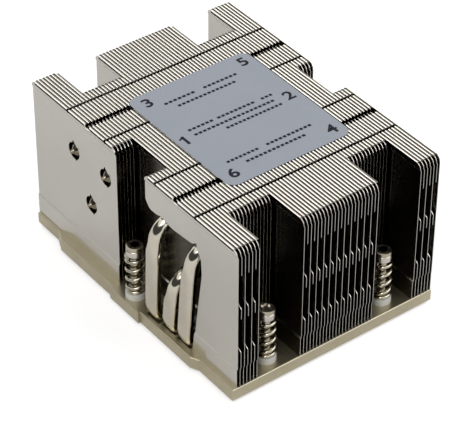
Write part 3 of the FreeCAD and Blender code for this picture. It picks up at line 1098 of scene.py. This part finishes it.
@dataclass
class HeatPipe:
    """A U-shaped tube: round in the fins, flattened down the side and in the base."""

    palette: Palette
    run: PipeRun
    half: Half
    diameter: float = 5.4
    flat_thick: float = 3.6
    flat_wide: float = 6.4
    flat_squareness: float = 3.1
    bend_end: float = 34.4
    bend_steps: int = 12
    flattening: float = 4.6
    flattening_steps: int = 8
    # how far along the upper bend the tube starts to flatten, and how flat it is after it
    flat_from: float = 0.35
    bend_share: float = 0.25
    ease_from: float = 0.16
    leg_end: float = 36.0
    dark_reflection_from: float = 39.8
    sides: int = 28

    def section(self, share: float) -> Triple:
        """Work out the section of a partly flattened tube.

        Args:
            share: how far it is flattened, from 0 to 1.

        Returns:
            Thickness, width and squareness.
        """
        ends = (
            (self.diameter, self.flat_thick), (self.diameter, self.flat_wide),
            (2.0, self.flat_squareness),
        )
        thick, wide, square = (a + (b - a) * share for a, b in ends)
        return thick, wide, square

    def stations(self) -> list[Station]:
        """Set out the sections of the tube.

        Returns:
            The sections from the domed end, round the bends, to the end in the base.
        """
        d = self.diameter
        x_round = -(self.run.reach - d / 2)
        x_flat = -(self.run.reach - self.flat_thick / 2)
        upper = -x_round - self.bend_end
        lower = -x_flat - self.bend_end
        row = self.run.row / math.cos(self.run.lean)
        leg = LEG_LEVEL / math.cos(self.run.lean)
        level = row - upper
        run = [Station(x, row, 0, size, size) for x, size in DOME]
        run.append(Station(0.0, row, 0, d, d))
        quarter = [step / self.bend_steps for step in range(self.bend_steps + 1)]
        for share in quarter:
            turn = math.radians(90 * share)
            x = x_round + upper * (1 - math.sin(turn))
            flat = self.section(self.bend_share * max(0.0, share - self.flat_from))
            run.append(Station(x, level + upper * math.cos(turn), 90 * share, *flat))
        for step in range(1, self.flattening_steps + 1):
            share = step / self.flattening_steps
            ease = self.ease_from + (1 - self.ease_from) * share * share * (3 - 2 * share)
            thick, wide, square = self.section(ease)
            x = x_round + (x_flat - x_round) * (d - thick) / (d - self.flat_thick)
            run.append(Station(x, level - self.flattening * share, 90, thick, wide, square))
        flat = self.section(1.0)
        for share in quarter:
            turn = math.radians(90 * share)
            x = x_flat + lower * (1 - math.cos(turn))
            run.append(Station(x, leg + lower * (1 - math.sin(turn)), 90 + 90 * share, *flat))
        return run + [Station(self.leg_end, leg, 180, *flat)]

    def place_ring(self, verts: Sequence[BMVert], at: Station) -> None:
        """Move a ring of points to a section.

        Args:
            verts: the ring's points in order.
            at: the section.
        """
        heading = math.radians(at.angle)
        outward = Vector((-math.sin(heading), 0, math.cos(heading)))
        power = 2.0 / at.squareness
        for i, vert in enumerate(verts):
            turn = 2 * math.pi * i / self.sides
            c, s = math.cos(turn), math.sin(turn)
            up = math.copysign(abs(c) ** power, c) * at.thick / 2
            out = math.copysign(abs(s) ** power, s) * at.wide / 2
            vert.co = Vector((at.x, 0, at.z)) + outward * up + Vector((0, out, 0))

    def draw_on(self, bm: BMesh, ring: Sequence[BMVert]) -> list[BMVert]:
        """Draw the tube on by one section.

        Args:
            bm: the mesh of the tube.
            ring: the points of its open end in order.

        Returns:
            The points of the new end in the same order.
        """
        edges = [bm.edges.get((a, b)) for a, b in zip(ring, ring[1:] + ring[:1])]
        grown = bmesh.ops.extrude_edge_only(bm, edges=edges)
        old = set(ring)
        follow = {}
        for vert in only(BMVert, grown["geom"]):
            for edge in vert.link_edges:
                if edge.other_vert(vert) in old:
                    follow[edge.other_vert(vert)] = vert
        return [follow[vert] for vert in ring]

    def build(self) -> None:
        """Make the tube by drawing a ring from section to section."""
        bm = bmesh.new()
        start = bmesh.ops.create_circle(bm, cap_ends=True, segments=self.sides, radius=1.0)
        ring = list(start["verts"])
        route = self.stations()
        self.place_ring(ring, route[0])
        for at in route[1:]:
            ring = self.draw_on(bm, ring)
            self.place_ring(ring, at)
        bmesh.ops.contextual_create(bm, geom=ring)
        # the domed end gets the darker finish as a painted dark reflection
        for face in bm.faces:
            if face.calc_center_median().x > self.dark_reflection_from:
                face.material_index = SECOND_FINISH
        foot = self.run.leg_offset - LEG_LEVEL * math.tan(self.run.lean)
        leaned = Matrix.Translation((0, -foot, 0)) @ Matrix.Rotation(self.run.lean, 4, "X")
        turned = Matrix.Rotation(math.pi if self.half is Half.REAR else 0.0, 4, "Z")
        bmesh.ops.transform(bm, matrix=turned @ leaned, verts=list(bm.verts))
        face_outwards(bm)
        name = f"{self.half.name.lower()}_{self.run.name}_heat_pipe"
        finishes = [self.palette.pipe, self.palette.dark_reflection]
        make_piece(bm, name + "_drawn", finishes, [name], smooth=True)


# --- captive screws


def screw_places() -> dict[str, Pair]:
    """Set out the captive screws.

    Returns:
        X and Y of each screw, by the name of its place.
    """
    rows = (("front", 25.1, -52.6), ("middle", 41.0, 0.0), ("rear", 25.1, 52.6))
    sides = (("left", -1), ("right", 1))
    return {f"{row}_{side}": (sign * x, y) for row, x, y in rows for side, sign in sides}


@dataclass
class CaptiveScrew:
    """A shouldered screw with a star socket, held by its spring and bushing."""

    palette: Palette
    name: str
    centre: Pair
    top: float = 28.3
    head_radius: float = 3.1
    head_foot: float = 24.3
    socket_rim: float = 2.35
    socket_radius: float = 1.62
    socket_lobe: float = 0.26
    socket_lobes: int = 6
    socket_depth: float = 0.5
    # how far below the top the collar starts, and how far above the head's foot it ends
    collar_start: float = 1.8
    collar_end: float = 0.1
    shank_radius: float = 1.7
    stop: float = 5.7
    tip: float = 0.3
    tip_radius: float = 1.2
    tip_taper: Pair = (0.5, 0.4)
    thread_radius: float = 2.0
    thread_depth: float = 0.38
    thread_pitch: float = 0.7
    thread_end: float = 0.8
    sides: int = 36

    def thread(self) -> list[Pair]:
        """Draw the thread.

        Returns:
            Radius and height of each point from the stop to the tip.
        """
        r = self.thread_radius
        points = [(r, self.stop)]
        z = self.stop - self.thread_pitch
        while z > self.tip + self.thread_end:
            points += [(r - self.thread_depth, z + self.thread_pitch / 2), (r, z)]
            z -= self.thread_pitch
        inset, rise = self.tip_taper
        ends = [(r - inset, self.tip + rise), (self.tip_radius, self.tip), (0.0, self.tip)]
        return points + ends

    def profile(self) -> list[Pair]:
        """Draw the head, the neck and the shank.

        Returns:
            Radius and height of each point from the socket's rim down.
        """
        r, top, foot = self.head_radius, self.top, self.head_foot
        return [
            (self.socket_rim, top), (r - 0.42, top), (r - 0.12, top - 0.14), (r, top - 0.45),
            (r, top - 1.25), (r - 0.22, top - 1.4), (r - 0.22, top - 1.6),
            (r - 0.04, top - 1.75), (r, top - 1.85), (r, foot + 0.15), (r - 0.15, foot),
            (self.shank_radius, foot), (self.shank_radius, self.stop),
        ]

    def socket(self, bm: BMesh) -> None:
        """Sink the six-lobed socket into the head.

        Args:
            bm: the screw's mesh, open at the top inside the socket's rim.
        """
        axis = Vector((*self.centre, self.top))
        star = bmesh.ops.create_circle(
            bm, cap_ends=False, segments=self.sides, radius=1.0, matrix=Matrix.Translation(axis)
        )["verts"]
        for vert in star:
            arm = vert.co - axis
            wave = math.cos(self.socket_lobes * math.atan2(arm.y, arm.x))
            vert.co = axis + arm.normalized() * (self.socket_radius + self.socket_lobe * wave)
        inner = list({e for v in star for e in v.link_edges})
        outer = [
            e for e in bm.edges
            if e.is_boundary
            and all(abs((v.co - axis).length - self.socket_rim) < 1e-3 for v in e.verts)
        ]
        bmesh.ops.bridge_loops(bm, edges=inner + outer)
        sunk = bmesh.ops.extrude_edge_only(bm, edges=inner)["geom"]
        bmesh.ops.translate(bm, verts=only(BMVert, sunk), vec=(0, 0, -self.socket_depth))
        bmesh.ops.contextual_create(bm, geom=only(BMEdge, sunk))

    def paler(self, middle: Vector) -> bool:
        """Tell which faces have the lighter finish: the collar, and the socket as painted light.

        Args:
            middle: the middle of a face.

        Returns:
            Whether the face is on the collar or in the socket.
        """
        if self.head_foot + self.collar_end < middle.z < self.top - self.collar_start:
            return True
        off_axis = math.hypot(middle.x - self.centre[0], middle.y - self.centre[1])
        return off_axis < self.socket_rim and middle.z > self.top - self.collar_start

    def build(self) -> None:
        """Make the screw."""
        bm = bmesh.new()
        lathe(bm, self.profile() + self.thread(), self.centre, self.sides)
        self.socket(bm)
        for face in bm.faces:
            # the collar keeps its own lighter finish; the socket gets it as painted light
            if self.paler(face.calc_center_median()):
                face.material_index = SECOND_FINISH
        face_outwards(bm)
        name = self.name + "_screw"
        finishes = [self.palette.screw, self.palette.collar]
        make_piece(bm, name + "_turned", finishes, [name], body=name, smooth=True)


@dataclass
class CoilSpring:
    """A compression spring of round wire with closed ends."""

    palette: Palette
    name: str
    centre: Pair
    outer_diameter: float = 7.3
    wire: float = 1.2
    wire_sides: int = 10
    low: float = 8.36
    high: float = 24.3
    open_turns: float = 3.25
    closed_turns: float = 0.9
    closed_pitch: float = 0.98
    steps_per_turn: int = 28
    travel: float = 4.5

    def build(self) -> None:
        """Wind the wire, a closed turn at each end and open turns between."""
        bm = bmesh.new()
        x, y = self.centre
        mean = (self.outer_diameter - self.wire) / 2
        rise = self.high - self.low - self.wire
        closed = (self.closed_turns, self.wire * self.closed_pitch * self.closed_turns)
        start = Matrix.Translation((x - mean, y, self.low + self.wire / 2))
        place = start @ Matrix.Rotation(math.pi / 2, 4, "X")
        ring = bmesh.ops.create_circle(
            bm, cap_ends=True, segments=self.wire_sides, radius=self.wire / 2, matrix=place
        )["verts"]
        geometry: list[Any] = list(ring) + list({e for v in ring for e in v.link_edges})
        for turns, climb in (closed, (self.open_turns, rise - 2 * closed[1]), closed):
            steps = round(turns * self.steps_per_turn)
            wound = bmesh.ops.spin(
                bm, geom=geometry, cent=(x, y, 0), axis=(0, 0, 1), dvec=(0, 0, climb / steps),
                angle=2 * math.pi * turns, steps=steps,
                use_merge=False, use_normal_flip=False, use_duplicate=False,
            )
            geometry = [g for g in wound["geom_last"] if not isinstance(g, BMFace)]
        bmesh.ops.contextual_create(bm, geom=only(BMEdge, geometry))
        bmesh.ops.remove_doubles(bm, verts=list(bm.verts), dist=1e-4)
        face_outwards(bm)
        name = self.name + "_spring"
        finishes = [self.palette.spring]
        spring = make_piece(bm, name + "_coil", finishes, [name], smooth=True)
        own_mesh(spring)


@dataclass
class Bushings:
    """Six moulded spacers pressed on the base under the springs."""

    palette: Palette
    radius: float = 3.7
    bore: float = 1.82
    low: float = 5.8
    high: float = 8.35
    ease: float = 0.3
    ease_middle: float = 0.09
    sides: int = 40

    def build(self) -> None:
        """Make all six in one piece."""
        bm = bmesh.new()
        r, e, m = self.radius, self.ease, self.ease_middle
        profile = [
            (self.bore, self.low), (r, self.low), (r, self.high - e), (r - m, self.high - m),
            (r - e, self.high), (self.bore, self.high), (self.bore, self.low),
        ]
        for centre in screw_places().values():
            one = bmesh.new()
            lathe(one, profile, centre, self.sides)
            face_outwards(one)
            add_in(bm, one)
        finishes = [self.palette.bushing]
        name = "screw_bushings"
        make_piece(bm, name + "_moulded", finishes, [name], smooth=True)


# --- label


@dataclass
class Label:
    """The film label with the numbers of the screws and plain dashes for its lines."""

    palette: Palette
    centre: Pair = (1.9, -1.4)
    size: Pair = (51.2, 60.0)
    low: float = 64.0
    high: float = 64.12
    corner: float = 3.5
    ink: float = 0.016
    digit_size: float = 6.6
    digit_weight: float = 0.16
    digit_width: float = 1.16
    # the stroke that gives the plain upright of the 1 its flag
    flag: tuple[Pair, ...] = ((-1.7, 1.0), (0.1, 1.7), (0.1, 2.5), (-1.7, 1.8))
    dash_height: float = 1.15
    dash_pitch: float = 1.75
    dash_gap: float = 0.5
    dash_radius: float = 0.15
    # each digit with its middle, and each line's Y with the ends of its words
    numbers: tuple[tuple[str, float, float], ...] = (
        ("3", -18.2, 23.1), ("5", 22.9, 23.5), ("1", -20.4, -2.0),
        ("2", 23.3, -2.1), ("6", -18.5, -25.8), ("4", 22.8, -26.0),
    )
    lines: tuple[tuple[float, tuple[Pair, ...]], ...] = (
        (19.2, ((-14.0, -0.9), (2.5, 17.2))),
        (15.7, ((-10.8, 14.1),)),
        (2.1, ((-16.5, -5.7), (-4.3, 11.8), (14.4, 19.5))),
        (-1.1, ((-16.2, 17.9),)),
        (-4.3, ((-5.2, 18.9),)),
        (-19.7, ((-16.7, -3.2), (-0.2, 19.2))),
        (-23.1, ((-11.2, 14.1),)),
    )

    def sheet(self) -> None:
        """Make the film."""
        x, y = self.centre
        w, h = self.size[0] / 2, self.size[1] / 2
        outline = box_outline(x - w, y - h, x + w, y + h, self.corner)
        bm = prism(outline, Plane.XY, self.low, (0, 0, self.high - self.low))
        make_piece(bm, "label_film_sheet", [self.palette.film], ["top_label"])

    def stamp(self, bm: BMesh, outline: Sequence[Corner]) -> None:
        """Print one flat shape on the film."""
        add_in(bm, prism(outline, Plane.XY, self.high, (0, 0, self.ink)))

    def digit(self, bm: BMesh, sign: str, x: float, y: float) -> None:
        """Print one digit.

        Args:
            bm: the mesh of the ink.
            sign: the digit.
            x: the middle of the digit.
            y: the middle of the digit.
        """
        curve = bpy.data.curves.new("digit_" + sign, "FONT")
        curve.body = sign
        curve.align_x = "CENTER"
        curve.align_y = "CENTER"
        curve.size = self.digit_size
        curve.offset = self.digit_weight
        curve.extrude = self.ink / 2
        carrier = bpy.data.objects.new("digit_" + sign, curve)
        bpy.context.scene.collection.objects.link(carrier)
        bpy.context.view_layer.update()
        flat = bpy.data.meshes.new_from_object(carrier)
        wider = Matrix.Diagonal((self.digit_width, 1.0, 1.0, 1.0))
        flat.transform(Matrix.Translation((x, y, self.high + self.ink / 2)) @ wider)
        bm.from_mesh(flat)
        bpy.data.objects.remove(carrier)
        bpy.data.meshes.remove(flat)
        bpy.data.curves.remove(curve)
        if sign == "1":
            self.stamp(bm, [Corner(x + a, y + b) for a, b in self.flag])

    def dashes(self, bm: BMesh, y: float, start: float, end: float) -> None:
        """Print one stretch of a line as a row of plain short dashes.

        Args:
            bm: the mesh of the ink.
            y: the middle of the line.
            start: where the stretch starts.
            end: where it ends.
        """
        count = max(1, round((end - start) / self.dash_pitch))
        step = (end - start) / count
        low, high = y - self.dash_height / 2, y + self.dash_height / 2
        for i in range(count):
            x = start + i * step
            self.stamp(bm, box_outline(x, low, x + step - self.dash_gap, high, self.dash_radius))

    def print_ink(self) -> None:
        """Make everything that is printed on the film."""
        bm = bmesh.new()
        for sign, x, y in self.numbers:
            self.digit(bm, sign, x, y)
        for y, words in self.lines:
            for start, end in words:
                self.dashes(bm, y, start, end)
        make_piece(bm, "label_ink", [self.palette.ink], [])

    def build(self) -> None:
        """Make the film and its print."""
        self.sheet()
        self.print_ink()


# --- studio


@dataclass(frozen=True)
class Softbox:
    """A square lamp: where it hangs and its side in metres, and its power in watts."""

    name: str
    place: Triple
    size: float
    power: float


@dataclass
class Studio:
    """Floor, soft light and camera."""

    width: int = 468
    target: Triple = (-7.752, -12.072, 29.401)
    distance: float = 765.73
    azimuth: float = -37.35
    elevation: float = 38.616
    roll: float = 0.376
    focal_pixels: float = 2230.09
    sensor: float = 36.0
    floor_half: float = 3.0
    # the sky as it lights matt surfaces, and as the camera and metal see it
    sky: Pair = (0.5, 1.0)
    # the unlit wall on the left: middle, half height and blur of the band it takes up in
    # the sine of the elevation, where it begins towards -X, and how bright it is
    wall_middle: float = 0.28
    wall_half: float = 0.26
    wall_blur: float = 0.03
    wall_side: Pair = (-0.5, -0.3)
    wall_light: float = 0.06
    lamps: tuple[Softbox, ...] = (
        Softbox("rear_softbox", (0.75, 0.95, 1.0), 0.8, 3.6),
        Softbox("key_softbox", (-0.9, -0.5, 1.3), 0.8, 9.5),
        Softbox("edge_softbox", (0.7, -0.95, 0.95), 1.0, 5.0),
    )
    lamp_target: Triple = (0.0, 0.0, 0.03)

    def floor(self) -> None:
        """Lay the paper the heatsink stands on."""
        bm = bmesh.new()
        bmesh.ops.create_grid(bm, x_segments=2, y_segments=2, size=self.floor_half)
        mesh = bpy.data.meshes.new("paper_floor")
        bm.to_mesh(mesh)
        bm.free()
        mesh.materials.append(StudioFloor().build())
        floor = bpy.data.objects.new("paper_floor", mesh)
        bpy.context.scene.collection.objects.link(floor)

    def lamp(self, box: Softbox) -> None:
        """Hang one softbox that faces the heatsink.

        Args:
            box: the softbox.
        """
        data = bpy.data.lights.new(box.name, "AREA")
        data.shape = "SQUARE"
        data.size = box.size
        data.energy = box.power
        lamp = bpy.data.objects.new(box.name, data)
        lamp.location = box.place
        lamp.rotation_mode = "QUATERNION"
        facing = Vector(box.place) - Vector(self.lamp_target)
        lamp.rotation_quaternion = facing.to_track_quat("Z", "Y")
        bpy.context.scene.collection.objects.link(lamp)

    def wall(self, tree: NodeTree) -> NodeSocket:
        """Lay out the unlit wall.

        Args:
            tree: the node tree of the world.

        Returns:
            How much of the wall lies in each direction, from 0 to 1.
        """
        ahead = add_node(tree, "ShaderNodeTexCoord").outputs["Generated"]
        split = add_node(tree, "ShaderNodeSeparateXYZ", links={"Vector": ahead}).outputs
        apart = maths(tree, "ABSOLUTE", maths(tree, "SUBTRACT", split["Z"], self.wall_middle))
        rim = (self.wall_half - self.wall_blur, self.wall_half + self.wall_blur)
        band = remap(tree, apart, (1.0, 0.0), rim)
        side = remap(tree, split["X"], (1.0, 0.0), self.wall_side)
        return maths(tree, "MULTIPLY", band, side)

    def light(self) -> None:
        """Light the scene from a pale sky and three softboxes."""
        world = bpy.data.worlds.new("studio_sky")
        world.use_nodes = True
        bpy.context.scene.world = world
        tree = world.node_tree
        back = tree.nodes["Background"]
        back.inputs["Color"].default_value = (1, 1, 1, 1)
        seen = add_node(tree, "ShaderNodeLightPath").outputs
        either = maths(tree, "MAXIMUM", seen["Is Camera Ray"], seen["Is Glossy Ray"])
        any_of = maths(tree, "MAXIMUM", either, seen["Is Transmission Ray"])
        # only metal sees the unlit wall, so it takes no light from the scene
        dimmed = maths(tree, "MULTIPLY", self.wall(tree), seen["Is Glossy Ray"])
        final = add_node(tree, "ShaderNodeMix", {"data_type": "FLOAT"}, {"Factor": dimmed})
        tree.links.new(remap(tree, any_of, self.sky), final.inputs[2])
        final.inputs[3].default_value = self.wall_light
        tree.links.new(final.outputs[0], back.inputs["Strength"])
        for box in self.lamps:
            self.lamp(box)

    def camera(self) -> None:
        """Set the camera to the three-quarter view from the front left."""
        az, el, roll = (math.radians(a) for a in (self.azimuth, self.elevation, self.roll))
        level = Vector((math.cos(az), math.sin(az), 0))
        ahead = Vector((-math.sin(az) * math.cos(el), math.cos(az) * math.cos(el), -math.sin(el)))
        up = level.cross(ahead)
        right = math.cos(roll) * level + math.sin(roll) * up
        top = math.cos(roll) * up - math.sin(roll) * level
        data = bpy.data.cameras.new("product_camera")
        data.sensor_width = self.sensor
        data.lens = self.sensor * self.focal_pixels / self.width
        data.clip_start = 0.05
        data.clip_end = 20.0
        camera = bpy.data.objects.new("product_camera", data)
        place = (Vector(self.target) - ahead * self.distance) * MM
        turned = Matrix((right, top, -ahead)).transposed().to_4x4()
        camera.matrix_world = Matrix.Translation(place) @ turned
        bpy.context.scene.collection.objects.link(camera)
        bpy.context.scene.camera = camera

    def build(self) -> None:
        """Set up floor, light and camera."""
        self.floor()
        self.light()
        self.camera()
        bpy.context.scene.view_settings.view_transform = "Standard"


def main() -> None:
    """Build every sub-assembly in order."""
    logging.basicConfig(level=logging.INFO, format="%(message)s")
    palette = Palette()
    Studio().build()
    FinStack(FinSizes(), palette).build()
    BasePlate(palette).build()
    for half in Half:
        for run in PIPE_RUNS:
            HeatPipe(palette, run, half).build()
    for name, centre in screw_places().items():
        CaptiveScrew(palette, name, centre).build()
        CoilSpring(palette, name, centre).build()
    Bushings(palette).build()
    Label(palette).build()


if __name__ == "__main__":
    main()
